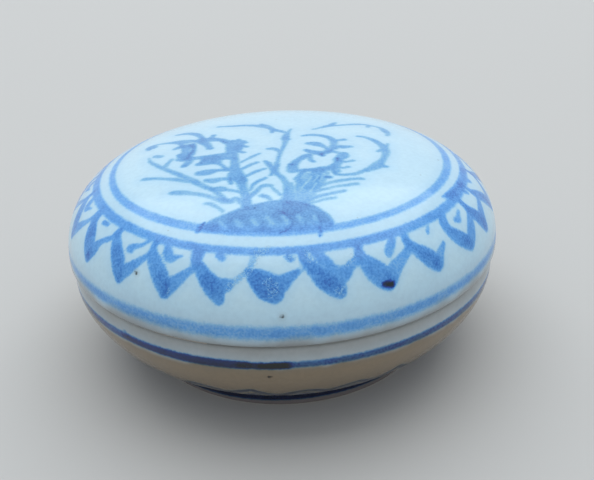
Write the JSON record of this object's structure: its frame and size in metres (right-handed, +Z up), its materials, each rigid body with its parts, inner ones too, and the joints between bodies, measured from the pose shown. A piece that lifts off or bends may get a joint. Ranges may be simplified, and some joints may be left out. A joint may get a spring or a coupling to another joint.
{
  "type": "porcelain trinket box",
  "caption": "Small round porcelain box with a domed lift-off lid over a footed bowl, hand-painted in underglaze blue.",
  "frame": {"origin": "centre of the plane that the foot ring stands on", "axes": "+Z up along the axis that both pieces were turned about; -Y towards the side from which the painted mound on the lid stands upright"},
  "size_m": [0.08, 0.08, 0.0371],
  "materials": {
    "base_porcelain": "clear glossy glaze over greyish porcelain, bare on the seat, flange and foot",
    "lid_porcelain": "clear glossy glaze over white porcelain with cobalt painting, bare on the rim"
  },
  "bodies": {
    "base": {"base": "base_porcelain"},
    "lid": {"lid": "lid_porcelain"}
  },
  "joints": [
    {"name": "lid_lift", "type": "slide", "parent": "base", "child": "lid", "axis": [0, 0, 1], "range_m": [0, 0.06]}
  ]
}
